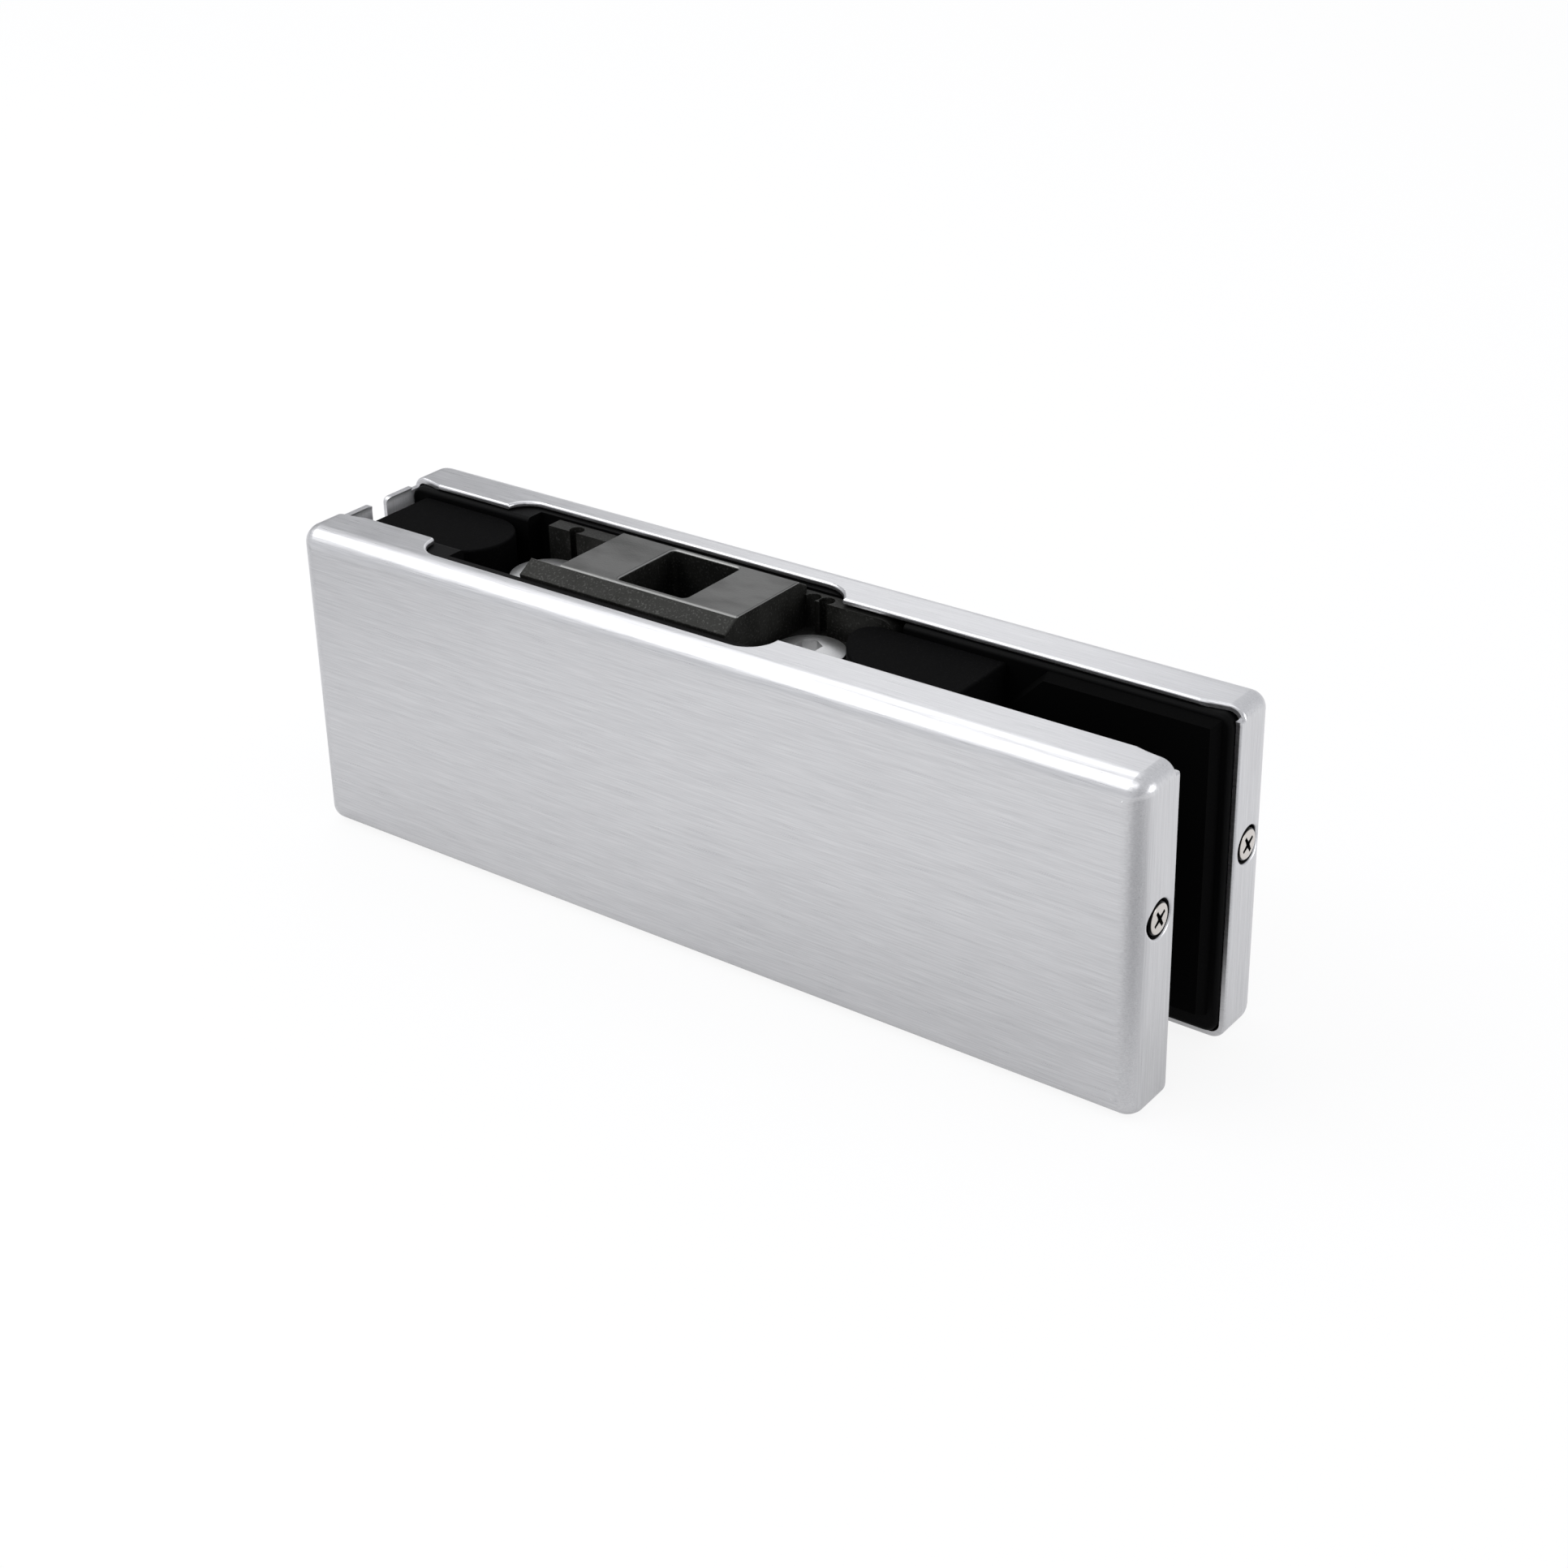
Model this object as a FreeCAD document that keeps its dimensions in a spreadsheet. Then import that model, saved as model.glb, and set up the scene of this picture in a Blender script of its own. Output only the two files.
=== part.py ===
import FreeCAD, Part
import math
import os
import re
import Sketcher
from FreeCAD import Vector

# Glass patch fitting: two pressed covers over two clamp halves that grip the corner of a
# glass door, with a sliding pivot insert that takes the spindle of a floor spring.
# X runs along the door's edge, Y through the glass, Z up. The floor side of the fitting
# is up and the glass enters from below and from the +X end. The origin is at the centre
# of the two lower flanges. All lengths are in millimetres.

# Each row: alias, value, what it measures
SIZES = [
    ("fitting_length", 164, "covers, end to end"),
    ("fitting_height", 56, "covers, lower flange to upper flange"),
    ("fitting_width", 37.5, "over both cover faces"),
    ("glass_thickness", 12, "slot between the gasket faces"),
    ("gasket_thickness", 2, "gasket on each clamp half"),

    ("sheet_gauge", 1, "cover sheet"),
    ("cover_clearance", 0.1, "cover to clamp half"),
    ("bend_radius", 3.7, "cover face to flanges, outside"),
    ("cover_corner_radius", 2.6, "flange to flange, outside"),
    ("flange_reach", 9.9, "flange depth measured from the cover face"),
    ("flange_relief", 1, "narrowing of the upper flange at its two ends"),
    ("relief_length", 7, "length over which the upper flange narrows"),
    ("cutout_heel", 44.7, "upper flange cut-out, from the pivot to its heel end"),
    ("cutout_toe", 26.3, "upper flange cut-out, from the pivot to its toe end"),
    ("front_ledge", 4.55, "flange left standing beside the cut-out, front cover"),
    ("rear_ledge", 6.2, "flange left standing beside the cut-out, rear cover"),
    ("cutout_radius", 4.8, "rounded ends of the cut-out"),
    ("rear_toe_radius", 6.1, "toe end of the cut-out in the rear cover"),
    ("cutout_corner", 1, "free corner at the heel end of the front cut-out"),
    ("tab_gap", 3.5, "between the two heel tabs"),
    ("tab_foot", 17.6, "lowest level of the heel tabs"),
    ("tab_drop", 1.3, "top of the heel tabs below the cover top"),
    ("tab_radius", 1, "free corner of a heel tab"),
    ("rim_round", 0.45, "rounded outer edges of the sheet along its free rim"),
    ("rim_underside", 0.3, "rounded lower edges of the upper flange"),
    ("cover_hole", 6.1, "hole in the cover for its screw"),
    ("cover_hole_round", 0.4, "dished edge of that hole"),

    ("body_corner_radius", 2.2, "corners of a clamp half in front view"),
    ("body_edge_radius", 3.1, "outer edges of a clamp half, under the cover"),
    ("body_rim_radius", 0.8, "inner edges of a clamp half"),
    ("pouch_depth", 5.5, "lightening pockets in the outer side of a clamp half"),
    ("pouch_margin", 7, "row of pockets to the ends of the fitting"),
    ("pouch_foot", 6, "lower edge of those pockets"),
    ("pouch_rib", 4, "metal between pockets, and between them and the clamp bores"),
    ("pouch_corner", 2, "rounded corners of those pockets"),
    ("toe_pouch_margin", 16, "pocket above the row to the toe end"),

    ("gasket_side_margin", 1.7, "foot of the gasket to the toe end of the clamp half"),
    ("gasket_top_margin", 0.8, "foot of the gasket to the top of the clamp half"),
    ("gasket_foot_margin", 3.1, "foot of the gasket to the foot of the clamp half"),
    ("gasket_gap", 0.5, "toe spacer to the upright leg of the gasket"),
    ("gasket_rail", 13.2, "height of the lower leg of the gasket"),
    ("gasket_corner", 6.8, "clipped corner of the upright leg"),
    ("gasket_taper", 22, "slope of the gasket's edges, degrees"),

    ("spacer_length", 25.1, "heel and toe spacer"),
    ("spacer_rise", 0.9, "underside of the spacers above the gasket rail"),
    ("spacer_drop", 2.4, "upper face of the spacers below the cover top"),
    ("spacer_edge", 0.4, "rounded upper edge of the spacers"),
    ("heel_nose", 37.95, "tip of the heel spacer from the pivot"),
    ("toe_nose", 31.75, "nose of the toe spacer from the pivot, its lead left out"),
    ("nose_lead", 0.8, "lead of that nose, on its rear side"),
    ("nose_corner", 3.4, "rear corner of that nose"),
    ("nose_shoulder", 3.4, "where its swept front side begins, behind the middle"),
    ("nose_cut", 12.2, "length of the swept front side along the door"),
    ("nose_sweep", 20, "radius of the swept front side"),
    ("bore_set", 14, "clamp screw behind the nose of its spacer"),

    ("clamp_drop", 22, "clamp screws below the cover top"),
    ("clamp_thread", 8, "clamp screw shank"),
    ("clamp_bore", 8.6, "clearance bore for it"),
    ("thread_fit", 0.05, "shank to threaded hole, all round"),
    ("clamp_head", 13, "clamp screw head"),
    ("clamp_head_height", 5, "clamp screw head"),
    ("clamp_head_edge", 0.5, "broken edge of that head"),
    ("clamp_key", 5, "hexagon socket of the clamp screw"),
    ("clamp_key_depth", 2.7, "depth of that socket"),
    ("clamp_counterbore", 15.8, "sinking for head and washer"),
    ("clamp_washer", 15, "clamp washer, outside"),
    ("washer_gauge", 1.6, "clamp washer"),
    ("clamp_head_set", 0.35, "clamp screw head below the outer face"),
    ("clamp_tip_set", 1.2, "end of the clamp screw below the outer face"),

    ("pivot_set", 67.85, "pivot and middle of the insert from the heel end"),
    ("insert_length", 35.9, "raised block of the insert"),
    ("insert_width", 22.4, "insert across the fitting"),
    ("insert_height", 24.3, "block from top to underside"),
    ("insert_rise", 1.3, "upper face of the block above the cover top"),
    ("bevel_drop", 2, "long bevel of the block, height"),
    ("bevel_width", 3.45, "long bevel of the block, width"),
    ("block_corner", 1.9, "rounded rear corner of the block"),
    ("broken_edge", 0.25, "rounded edges of the block's upper face and ends"),
    ("plate_drop", 11, "underside of the insert's clamping plate below the cover top"),
    ("plate_gauge", 4, "clamping plate of the insert"),
    ("plate_heel", 31.9, "clamping plate, left of the insert's middle"),
    ("plate_toe", 28.8, "clamping plate, right of the insert's middle"),
    ("prong_drop", 1.4, "top of the rear prong and ear below the cover top"),
    ("prong_gap", 16.4, "between the inner faces of the prongs"),
    ("front_prong", 24.1, "end of the front prong, left of the insert's middle"),
    ("rear_prong", 35, "end of the rear prong, left of the insert's middle"),
    ("ear_reach", 36.4, "end of the rear ear, right of the insert's middle"),
    ("ear_radius", 3, "rounded end of the ear"),
    ("hollow_reach", 33.5, "hollow in the rear prong and ear, from the insert's middle"),
    ("hollow_depth", 1.3, "depth of that hollow at the block"),
    ("hollow_radius", 21, "sweep of that hollow past the screw"),
    ("bite_diameter", 2.6, "small round bites in the rim of the hollow"),
    ("bite_set", 1.1, "middle of the bites behind the prong's inner face"),
    ("first_bite", 19.7, "bite beside the toe screw, from the insert's middle"),
    ("second_bite", 22.4, "second bite there"),
    ("third_bite", 29.6, "bite beside the heel screw, from the insert's middle"),
    ("screw_slot", 6.6, "open slot for an insert screw"),
    ("slot_heel", 21.5, "round end of the heel slot, from the insert's middle"),
    ("slot_toe", 21, "round end of the toe slot, from the insert's middle"),
    ("socket_length", 13.8, "spindle socket along the door"),
    ("socket_width", 14.3, "spindle socket across the door"),
    ("socket_taper", 1, "draft of the socket, degrees"),
    ("socket_corner", 0.8, "upright corners of the socket"),
    ("socket_rim", 0.35, "broken edge of the socket's mouth"),

    ("travel_heel", 4.2, "adjustment of the insert toward the heel"),
    ("travel_toe", 1.2, "adjustment of the insert toward the toe"),
    ("slide_clearance", 0.3, "insert to its pocket"),

    ("screw_offset", 1.65, "middle of the two insert screws, left of the pivot"),
    ("screw_pitch", 54.2, "between the two insert screws"),
    ("insert_thread", 6, "insert screw shank"),
    ("insert_head", 12, "insert screw head"),
    ("insert_head_rim", 1.3, "straight rim of that head"),
    ("insert_head_crown", 1, "rise of the crowned head above its rim"),
    ("insert_key", 4, "hexagon socket of the insert screw"),
    ("insert_key_depth", 1.8, "depth of that socket"),
    ("insert_screw_length", 17.5, "insert screw below its head"),
    ("nut_length", 7, "clamping nut along the door"),
    ("nut_width", 21.8, "clamping nut across the door"),
    ("nut_height", 7, "clamping nut"),
    ("nut_ledge", 4, "ledge gripped between the plate and the nut"),
    ("nut_clearance", 0.2, "clamping nut to its pocket"),

    ("cover_screw_level", 32.3, "height of the cover screws"),
    ("cover_screw_set", 5.75, "cover screws from the cover face"),
    ("cover_thread", 3, "cover screw shank"),
    ("cover_head", 5.3, "cover screw head"),
    ("cover_head_height", 2, "cover screw head"),
    ("cover_head_round", 0.6, "rounded rim of that head"),
    ("cover_head_set", 0.05, "head below the outside of the cover"),
    ("cover_seat", 6.4, "sinking for that head in the clamp half"),
    ("cover_screw_length", 9, "shank below the head"),
    ("cross_span", 3.1, "cross recess, tip to tip"),
    ("cross_slot", 0.6, "width of its slots"),
    ("cross_depth", 1.4, "depth of the recess"),
    ("cross_turn", 32, "recess turned from upright, degrees"),
]
ALIASES = {alias for alias, value, note in SIZES}

# Planes and levels that several pieces share
JAW = "(glass_thickness / 2 + gasket_thickness)"
BODY_BACK = "(fitting_width / 2 - sheet_gauge - cover_clearance)"
BODY_END = "(fitting_length / 2 - sheet_gauge - cover_clearance)"
BODY_FOOT = "(sheet_gauge + cover_clearance)"
BODY_TOP = "(fitting_height - sheet_gauge - cover_clearance)"
PIVOT = "(pivot_set - fitting_length / 2)"
INSERT_TOP = "(fitting_height + insert_rise)"
INSERT_FOOT = "(fitting_height + insert_rise - insert_height)"
PLATE_FOOT = "(fitting_height - plate_drop)"
PLATE_TOP = "(fitting_height - plate_drop + plate_gauge)"
PRONG_TOP = "(fitting_height - prong_drop)"
BLOCK_HEEL = "(%s - insert_length / 2)" % PIVOT
BLOCK_TOE = "(%s + insert_length / 2)" % PIVOT
INSERT_SIDE = "(insert_width / 2)"
NUT_TOP = "(fitting_height - plate_drop - nut_ledge)"
HEEL_SCREW = "(%s - screw_offset - screw_pitch / 2)" % PIVOT
TOE_SCREW = "(%s - screw_offset + screw_pitch / 2)" % PIVOT
HEEL_NOSE = "(%s - heel_nose)" % PIVOT
TOE_NOSE = "(%s + toe_nose)" % PIVOT
HEEL_BORE = "(%s - heel_nose - bore_set)" % PIVOT
TOE_BORE = "(%s + toe_nose + bore_set)" % PIVOT
CLAMP_LEVEL = "(fitting_height - clamp_drop)"
CLAMP_SEAT = "(%s - clamp_head_set - clamp_head_height)" % BODY_BACK
GASKET_FOOT = "(%s + gasket_foot_margin)" % BODY_FOOT
SPACER_FOOT = "(%s + gasket_rail + spacer_rise)" % GASKET_FOOT
SPACER_TOP = "(fitting_height - spacer_drop)"
COVER_SCREW_SIDE = "(fitting_width / 2 - cover_screw_set)"
COVER_SCREW_SEAT = "(fitting_length / 2 - cover_head_set - cover_head_height)"

doc = FreeCAD.newDocument("patch_fitting")
sizes = doc.addObject("Spreadsheet::Sheet", "sizes")


def fill_sheet():
    for row, (alias, value, note) in enumerate(SIZES, 1):
        sizes.set("A%d" % row, alias)
        sizes.set("B%d" % row, str(value))
        sizes.setAlias("B%d" % row, alias)
        sizes.set("C%d" % row, note)
    doc.recompute()


def bound(expression):
    """Put the sheet's name before each alias in an expression."""
    def name(match):
        word = match.group()
        return "sizes." + word if word in ALIASES else word
    return re.sub(r"[a-z][a-z_]+", name, str(expression))


def number(expression):
    return float(sizes.evalExpression(bound(expression)))


def settle(item):
    doc.recompute()
    if "Touched" in item.State or "Invalid" in item.State:
        raise RuntimeError("%s did not build: %s" % (item.Name, item.getStatusString()))
    return item


def hold(sketch, geometry, end, x, y):
    """Fix one end of a sketch line by two dimensions from the sketch's origin."""
    for kind, expression in (("DistanceX", x), ("DistanceY", y)):
        constraint = Sketcher.Constraint(kind, -1, 1, geometry, end, number(expression))
        index = sketch.addConstraint(constraint)
        sketch.setExpression("Constraints[%d]" % index, bound(expression))


def arc_through(start, finish, radius, side):
    """Arc with its centre on the left (side 1) or right (side -1) of the way it runs."""
    middle = (start + finish) / 2
    half = (finish - start) / 2
    rise = math.sqrt(max(radius ** 2 - half.Length ** 2, 0))
    centre = middle + Vector(-half.y, half.x, 0).normalize() * rise * side
    ends = [start, finish] if side > 0 else [finish, start]
    angles = [math.atan2(p.y - centre.y, p.x - centre.x) for p in ends]
    return Part.ArcOfCircle(Part.Circle(centre, Vector(0, 0, 1), radius), *angles)


def outline(sketch, corners):
    """Closed outline. A corner is (x, y), or (x, y, radius, side) where an arc leaves it."""
    points = [Vector(number(corner[0]), number(corner[1]), 0) for corner in corners]
    base = sketch.GeometryCount
    count = len(corners)
    ends = []
    for index, corner in enumerate(corners):
        start, finish = points[index], points[(index + 1) % count]
        if len(corner) == 2:
            sketch.addGeometry(Part.LineSegment(start, finish), False)
            ends.append((1, 2))
        else:
            radius, side = corner[2:]
            sketch.addGeometry(arc_through(start, finish, number(radius), side), False)
            ends.append((1, 2) if side > 0 else (2, 1))
    for index in range(count):
        following = (index + 1) % count
        pair = (base + index, ends[index][1], base + following, ends[following][0])
        sketch.addConstraint(Sketcher.Constraint("Coincident", *pair))
    for index, corner in enumerate(corners):
        hold(sketch, base + index, ends[index][0], corner[0], corner[1])
        if len(corner) == 4:
            constraint = Sketcher.Constraint("Radius", base + index, number(corner[2]))
            place = sketch.addConstraint(constraint)
            sketch.setExpression("Constraints[%d]" % place, bound(corner[2]))


def rectangle(sketch, low_x, low_y, high_x, high_y):
    outline(sketch, [(low_x, low_y), (high_x, low_y), (high_x, high_y), (low_x, high_y)])


def circle(sketch, x, y, diameter):
    centre = Vector(number(x), number(y), 0)
    ring = Part.Circle(centre, Vector(0, 0, 1), number(diameter) / 2)
    index = sketch.addGeometry(ring, False)
    hold(sketch, index, 3, x, y)
    place = sketch.addConstraint(Sketcher.Constraint("Diameter", index, number(diameter)))
    sketch.setExpression("Constraints[%d]" % place, bound(diameter))


def plane_sketch(body, role, level):
    """Sketch on an origin plane of its own body, moved to a level along that plane's axis.

    The sketch's own axes are X and Y on XY_Plane, X and Z on XZ_Plane, Y and Z on YZ_Plane.
    """
    plane = [item for item in body.Origin.OriginFeatures if item.Role == role][0]
    sketch = body.newObject("Sketcher::SketchObject", "sketch")
    sketch.AttachmentSupport = [(plane, "")]
    sketch.MapMode = "FlatFace"
    sign = "-1" if role == "XZ_Plane" else "1"
    sketch.setExpression("AttachmentOffset.Base.z", bound("%s * (%s)" % (sign, level)))
    return settle(sketch)


def points_up(sketch):
    """True where the sketch's normal runs to the plus side of its axis."""
    normal = sketch.Placement.Rotation.multVec(Vector(0, 0, 1))
    return normal.x + normal.y + normal.z > 0


def pad(body, sketch, length, toward, taper=None):
    feature = body.newObject("PartDesign::Pad", "pad")
    feature.Profile = sketch
    feature.setExpression("Length", bound(length))
    feature.Reversed = points_up(sketch) != (toward > 0)
    if taper:
        feature.setExpression("TaperAngle", bound(taper))
    return settle(feature)


def pocket(body, sketch, length, toward, taper=None):
    before = body.Shape.Volume
    feature = body.newObject("PartDesign::Pocket", "pocket")
    feature.Profile = sketch
    feature.setExpression("Length", bound(length))
    feature.Reversed = points_up(sketch) == (toward > 0)
    if taper:
        feature.setExpression("TaperAngle", bound(taper))
    settle(feature)
    if not body.Shape.Volume < before - 1e-6:
        raise RuntimeError("%s: a pocket removes nothing" % body.Label)
    return feature


def edges_at(body, **levels):
    """Names of the edges whose ends and middle all lie at the given coordinates."""
    names = []
    for index, edge in enumerate(body.Shape.Edges, 1):
        middle = edge.valueAt((edge.FirstParameter + edge.LastParameter) / 2)
        spots = [vertex.Point for vertex in edge.Vertexes] + [middle]
        values = {axis: number(level) for axis, level in levels.items()}
        if all(abs(getattr(spot, axis) - values[axis]) < 1e-4 for spot in spots for axis in values):
            names.append("Edge%d" % index)
    if not names:
        raise RuntimeError("%s: no edge at %s" % (body.Label, levels))
    return names


def edge_work(body, kind, names, size):
    base = body.Tip
    feature = body.newObject(kind, "edge_work")
    feature.Base = (base, names)
    feature.setExpression("Radius" if kind == "PartDesign::Fillet" else "Size", bound(size))
    return settle(feature)


def fillet(body, names, radius):
    return edge_work(body, "PartDesign::Fillet", names, radius)


def chamfer(body, names, size):
    return edge_work(body, "PartDesign::Chamfer", names, size)


def bore(body, role, level, x, y, diameter, length, toward):
    sketch = plane_sketch(body, role, level)
    circle(sketch, x, y, diameter)
    return pocket(body, sketch, length, toward)


def new_body(label):
    body = doc.addObject("PartDesign::Body", label)
    body.Label = label
    return body


def outer_rim(body, x, y, z, diameter):
    """Names of the edges of a hole along X on the outer side of a sheet at that level."""
    names = []
    centre, radius = Vector(0, number(y), number(z)), number(diameter) / 2
    for index, edge in enumerate(body.Shape.Edges, 1):
        step = (edge.LastParameter - edge.FirstParameter) / 4
        spots = [edge.valueAt(edge.FirstParameter + step * count) for count in range(5)]
        away = [Vector(0, spot.y, spot.z).distanceToPoint(centre) for spot in spots]
        inside = min(spot.x for spot in spots) > number(x) - number("sheet_gauge") / 2
        if inside and all(abs(value - radius) < 1e-3 for value in away):
            names.append("Edge%d" % index)
    return names


def corners_of(body, low_x, low_z, high_x, high_z):
    """Edges along Y at the four corners of an outline in front view."""
    names = []
    for x in (low_x, high_x):
        for z in (low_z, high_z):
            names += edges_at(body, x=x, z=z)
    return names


def turned(label, role, level, across, corners):
    """Turned piece: a half section swung about the second axis of its sketch."""
    body = new_body(label)
    sketch = plane_sketch(body, role, level)
    sketch.setExpression("AttachmentOffset.Base.x", bound(across))
    doc.recompute()
    outline(sketch, corners)
    feature = body.newObject("PartDesign::Revolution", "turning")
    feature.Profile = sketch
    feature.ReferenceAxis = (sketch, ["V_Axis"])
    feature.Angle = 360
    settle(feature)
    return body


def key_socket(body, role, level, x, y, key, depth, toward):
    """Hexagon socket, its size measured across the flats."""
    sketch = plane_sketch(body, role, level)
    radius = "(%s) / sqrt(3)" % key
    corners = []
    for step in range(6):
        turn = math.radians(60 * step + 30)
        spot = (round(math.cos(turn), 6), round(math.sin(turn), 6))
        corners.append(("%s + %s * %f" % (x, radius, spot[0]), "%s + %s * %f" % (y, radius, spot[1])))
    outline(sketch, corners)
    return pocket(body, sketch, depth, toward)


def pillow(body, side, mouth, gauge):
    """Block with rounded face and corners, as far inside the cover's outside as the gauge."""
    face = "%d * (fitting_width / 2 - %s)" % (side, gauge)
    ends = ("%s - fitting_length / 2" % gauge, gauge,
            "fitting_length / 2 - %s" % gauge, "fitting_height - %s" % gauge)
    sketch = plane_sketch(body, "XZ_Plane", face)
    rectangle(sketch, *ends)
    pad(body, sketch, "(fitting_width - tab_gap) / 2 - %s" % gauge, -side)
    fillet(body, edges_at(body, y=face), "bend_radius - %s" % gauge)
    fillet(body, corners_of(body, *ends), "cover_corner_radius - %s" % gauge)


def tray(body, side, mouth):
    """Pressed tray, still as deep as its heel tab on all four sides."""
    core = new_body(body.Label + "_core")
    pillow(body, side, mouth, "0")
    pillow(core, side, mouth, "sheet_gauge")
    hollow = body.newObject("PartDesign::Boolean", "hollow")
    hollow.Type = "Cut"
    hollow.setObjects([core])
    settle(hollow)


def trim_flanges(body, side, mouth):
    """Cut every flange back to its reach, but leave the heel tab."""
    left, right = "0 - fitting_length / 2 - 1", "fitting_length / 2 + 1"
    shoulder = "2 * sheet_gauge - fitting_length / 2"
    tab_top = "fitting_height - tab_drop"
    sketch = plane_sketch(body, "XZ_Plane", mouth)
    outline(sketch, [(left, "0 - 1"), (right, "0 - 1"), (right, "fitting_height + 1"),
                     (left, "fitting_height + 1"), (left, tab_top), (shoulder, tab_top),
                     (shoulder, "tab_foot"), (left, "tab_foot")])
    pocket(body, sketch, "(fitting_width - tab_gap) / 2 - flange_reach", side)
    fillet(body, edges_at(body, y=mouth, z=tab_top), "tab_radius")


def cut_upper_flange(body, side):
    """Cut-out for the insert, and the narrowing of the flange at its two ends."""
    edge = "%d * (fitting_width / 2 - flange_reach)" % side
    beyond = "%d * (fitting_width / 2 - flange_reach - 1)" % side
    middle = "%d * tab_gap / 2" % side
    stands = "front_ledge" if side < 0 else "rear_ledge"
    toe_radius = "cutout_radius" if side < 0 else "rear_toe_radius"
    ledge = "%d * (fitting_width / 2 - %s)" % (side, stands)
    heel_turn = "%d * (fitting_width / 2 - %s - cutout_radius)" % (side, stands)
    toe_turn = "%d * (fitting_width / 2 - %s - %s)" % (side, stands, toe_radius)
    sketch = plane_sketch(body, "XY_Plane", "fitting_height + 1")
    heel, toe = "(%s - cutout_heel)" % PIVOT, "(%s + cutout_toe)" % PIVOT
    outline(sketch, [(heel, middle), (heel, heel_turn, "cutout_radius", -side),
                     ("%s + cutout_radius" % heel, ledge),
                     ("%s - %s" % (toe, toe_radius), ledge, toe_radius, -side),
                     (toe, toe_turn), (toe, middle)])
    pocket(body, sketch, "2 + sheet_gauge", -1)
    if side < 0:
        fillet(body, edges_at(body, x=heel, y=edge), "cutout_corner")

    relief = "%d * (fitting_width / 2 - flange_reach + flange_relief)" % side
    sweep = "((relief_length ^ 2 + flange_relief ^ 2) / (2 * flange_relief))"
    sketch = plane_sketch(body, "XY_Plane", "fitting_height + 1")
    for end in (-1, 1):
        outer = "%d * (fitting_length / 2)" % end
        start = "%d * (fitting_length / 2 - relief_length)" % end
        outline(sketch, [(start, edge, sweep, -side * end), (outer, relief), (outer, beyond),
                         (start, beyond)])
    pocket(body, sketch, "2 + sheet_gauge", -1)


def outer_skin(spot):
    """True for a point on the outer side of the four flanges and their corners."""
    radius, half = number("cover_corner_radius"), number("fitting_height / 2")
    across = max(abs(spot.x) - number("fitting_length / 2 - cover_corner_radius"), 0)
    upright = max(abs(spot.z - half) - half + radius, 0)
    return math.hypot(across, upright) > radius - 0.01


def sheet_rim(body):
    """Names of the outer edges of the cut faces, which are as wide as the sheet is thick."""
    gauge = number("sheet_gauge")
    ribbons = [face for face in body.Shape.Faces
               if abs(face.Area - gauge * (face.Length / 2 - gauge)) < 0.01 * face.Area]
    names = []
    for index, edge in enumerate(body.Shape.Edges, 1):
        middle = edge.valueAt((edge.FirstParameter + edge.LastParameter) / 2)
        count = sum(1 for face in ribbons for side in face.Edges if side.isSame(edge))
        if count == 1 and outer_skin(middle):
            names.append("Edge%d" % index)
    return names


def upper_underside(body):
    """Names of the lower edges of the upper flange and its cut-out, between the two reliefs."""
    reach = number("fitting_length / 2 - relief_length") + 0.01
    names = []
    for name in edges_at(body, z="fitting_height - sheet_gauge"):
        box = body.Shape.getElement(name).BoundBox
        if box.XMin > -reach and box.XMax < reach:
            names.append(name)
    return names


def cover(label, side):
    """Pressed cover: face, flanges on four sides, heel tab and the cut-out for the insert."""
    body = new_body(label)
    mouth = "%d * tab_gap / 2" % side
    tray(body, side, mouth)
    trim_flanges(body, side, mouth)
    cut_upper_flange(body, side)
    fillet(body, sheet_rim(body), "rim_round")
    fillet(body, upper_underside(body), "rim_underside")
    end = "fitting_length / 2"
    across = "%d * %s" % (side, COVER_SCREW_SIDE)
    bore(body, "YZ_Plane", end, across, "cover_screw_level", "cover_hole", "2 * sheet_gauge", -1)
    rim = outer_rim(body, end, across, "cover_screw_level", "cover_hole")
    fillet(body, rim, "cover_hole_round")
    return body


def rounded(low_x, low_z, high_x, high_z, radius):
    """Corners of a rectangle with rounded corners, for an outline."""
    inner = ["%s + %s" % (low_x, radius), "%s - %s" % (high_x, radius),
             "%s + %s" % (low_z, radius), "%s - %s" % (high_z, radius)]
    return [(inner[0], low_z), (inner[1], low_z, radius, 1), (high_x, inner[2]),
            (high_x, inner[3], radius, 1), (inner[1], high_z), (inner[0], high_z, radius, 1),
            (low_x, inner[3]), (low_x, inner[2], radius, 1)]


def lighten(body, side):
    """Open pockets in the outer side, hidden by the cover."""
    sketch = plane_sketch(body, "XZ_Plane", "%d * %s" % (side, BODY_BACK))
    pitch = "((fitting_length - 2 * pouch_margin) / 6)"
    head = "(%s - clamp_counterbore / 2 - pouch_rib)" % CLAMP_LEVEL
    for step in range(6):
        left = "(pouch_margin + pouch_rib / 2 - fitting_length / 2 + %d * %s)" % (step, pitch)
        right = "(%s + %s - pouch_rib)" % (left, pitch)
        outline(sketch, rounded(left, "pouch_foot", right, head, "pouch_corner"))
    outline(sketch, rounded("(%s + clamp_counterbore / 2 + pouch_rib)" % TOE_BORE,
                            "(%s + pouch_rib)" % head, "(fitting_length / 2 - toe_pouch_margin)",
                            "(fitting_height - pouch_foot)", "pouch_corner"))
    pocket(body, sketch, "pouch_depth", -side)


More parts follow.
